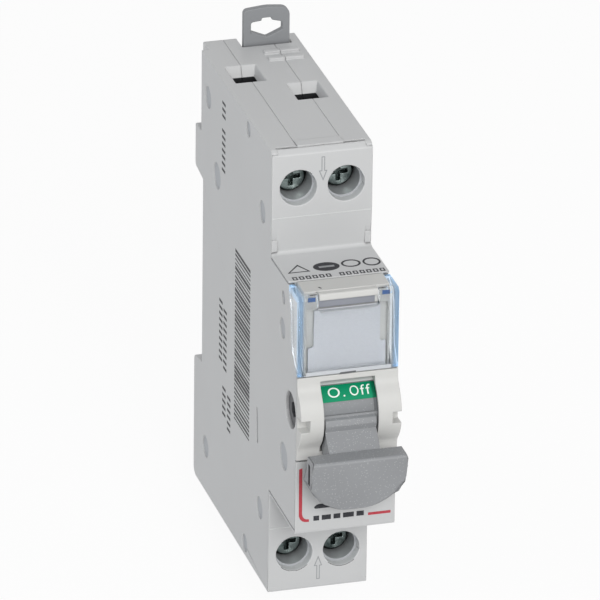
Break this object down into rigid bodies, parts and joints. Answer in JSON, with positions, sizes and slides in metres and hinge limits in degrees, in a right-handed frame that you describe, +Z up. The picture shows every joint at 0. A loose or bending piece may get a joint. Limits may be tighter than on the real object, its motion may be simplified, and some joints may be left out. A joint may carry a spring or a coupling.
{
  "type": "din rail switch disconnector",
  "caption": "Slim modular switch disconnector for a top-hat rail, with a rocking toggle in a round-cheeked bezel, a hinged clear label cover, cage terminals and sliding rail claws.",
  "frame": {"origin": "middle of the rail seat, the flat back face that bears on the rail", "axes": "+Z up along the height, +X to the right seen from the front, +Y towards the rail, so the front faces -Y"},
  "size_m": [0.0176, 0.0747, 0.097],
  "materials": {
    "casing": "matte",
    "bezel": "satin",
    "toggle": "matte",
    "claw": "matte",
    "clear_cover": "clear",
    "card": "matte",
    "rotor": "matte",
    "zinc_steel": "zinc plated",
    "copper": "bare",
    "pin_steel": "bright"
  },
  "bodies": {
    "casing": {"middle_casing": "casing", "left_cover": "casing", "right_cover": "casing", "front_bezel": "bezel", "label_card": "card", "fixed_contact_upper_left": "copper", "fixed_contact_upper_right": "copper", "fixed_contact_lower_left": "copper", "fixed_contact_lower_right": "copper"},
    "label_cover": {"label_cover": "clear_cover"},
    "toggle": {"toggle": "toggle"},
    "link": {"link_bar": "zinc_steel", "front_link_pin": "pin_steel", "rear_link_pin": "pin_steel"},
    "rotor": {"contact_rotor": "rotor", "moving_contact_left": "copper", "moving_contact_right": "copper"},
    "upper_claw": {"upper_claw": "claw"},
    "lower_claw": {"lower_claw": "claw"},
    "screw_upper_left": {"screw_upper_left": "zinc_steel"},
    "cage_upper_left": {"cage_upper_left": "zinc_steel"},
    "screw_upper_right": {"screw_upper_right": "zinc_steel"},
    "cage_upper_right": {"cage_upper_right": "zinc_steel"},
    "screw_lower_left": {"screw_lower_left": "zinc_steel"},
    "cage_lower_left": {"cage_lower_left": "zinc_steel"},
    "screw_lower_right": {"screw_lower_right": "zinc_steel"},
    "cage_lower_right": {"cage_lower_right": "zinc_steel"}
  },
  "joints": [
    {"name": "toggle_turn", "type": "hinge", "parent": "casing", "child": "toggle", "pos_m": [0, -0.057, -0.0006], "axis": [-1, 0, 0], "range_deg": [0, 75]},
    {"name": "link_swing", "type": "hinge", "parent": "toggle", "child": "link", "pos_m": [0, -0.05383, 0.00184], "axis": [-1, 0, 0], "range_deg": [-75, 0]},
    {"name": "rotor_turn", "type": "hinge", "parent": "casing", "child": "rotor", "pos_m": [0, -0.03, -0.0006], "axis": [-1, 0, 0], "range_deg": [0, 75]},
    {"name": "label_cover_swing", "type": "hinge", "parent": "casing", "child": "label_cover", "pos_m": [0, -0.06055, 0.0215], "axis": [-1, 0, 0], "range_deg": [0, 95]},
    {"name": "upper_claw_slide", "type": "slide", "parent": "casing", "child": "upper_claw", "axis": [0, 0, 1], "range_m": [0, 0.003]},
    {"name": "lower_claw_slide", "type": "slide", "parent": "casing", "child": "lower_claw", "axis": [0, 0, -1], "range_m": [0, 0.003]},
    {"name": "screw_upper_left_turn", "type": "hinge", "parent": "casing", "child": "screw_upper_left", "pos_m": [-0.0042, -0.0392, 0.0345], "axis": [0, 1, 0], "range_deg": [0, 2520]},
    {"name": "cage_upper_left_slide", "type": "slide", "parent": "casing", "child": "cage_upper_left", "axis": [0, -1, 0], "range_m": [0, 0.0049]},
    {"name": "screw_upper_right_turn", "type": "hinge", "parent": "casing", "child": "screw_upper_right", "pos_m": [0.0042, -0.0392, 0.0345], "axis": [0, 1, 0], "range_deg": [0, 2520]},
    {"name": "cage_upper_right_slide", "type": "slide", "parent": "casing", "child": "cage_upper_right", "axis": [0, -1, 0], "range_m": [0, 0.0049]},
    {"name": "screw_lower_left_turn", "type": "hinge", "parent": "casing", "child": "screw_lower_left", "pos_m": [-0.0042, -0.0392, -0.0345], "axis": [0, 1, 0], "range_deg": [0, 2520]},
    {"name": "cage_lower_left_slide", "type": "slide", "parent": "casing", "child": "cage_lower_left", "axis": [0, -1, 0], "range_m": [0, 0.0049]},
    {"name": "screw_lower_right_turn", "type": "hinge", "parent": "casing", "child": "screw_lower_right", "pos_m": [0.0042, -0.0392, -0.0345], "axis": [0, 1, 0], "range_deg": [0, 2520]},
    {"name": "cage_lower_right_slide", "type": "slide", "parent": "casing", "child": "cage_lower_right", "axis": [0, -1, 0], "range_m": [0, 0.0049]}
  ],
  "couplings": [
    {"joint": "link_swing", "follows": "toggle_turn", "ratio": -1},
    {"joint": "rotor_turn", "follows": "toggle_turn", "ratio": 1},
    {"joint": "screw_upper_left_turn", "follows": "cage_upper_left_slide", "rad_per_m": 8976},
    {"joint": "screw_upper_right_turn", "follows": "cage_upper_right_slide", "rad_per_m": 8976},
    {"joint": "screw_lower_left_turn", "follows": "cage_lower_left_slide", "rad_per_m": 8976},
    {"joint": "screw_lower_right_turn", "follows": "cage_lower_right_slide", "rad_per_m": 8976}
  ]
}
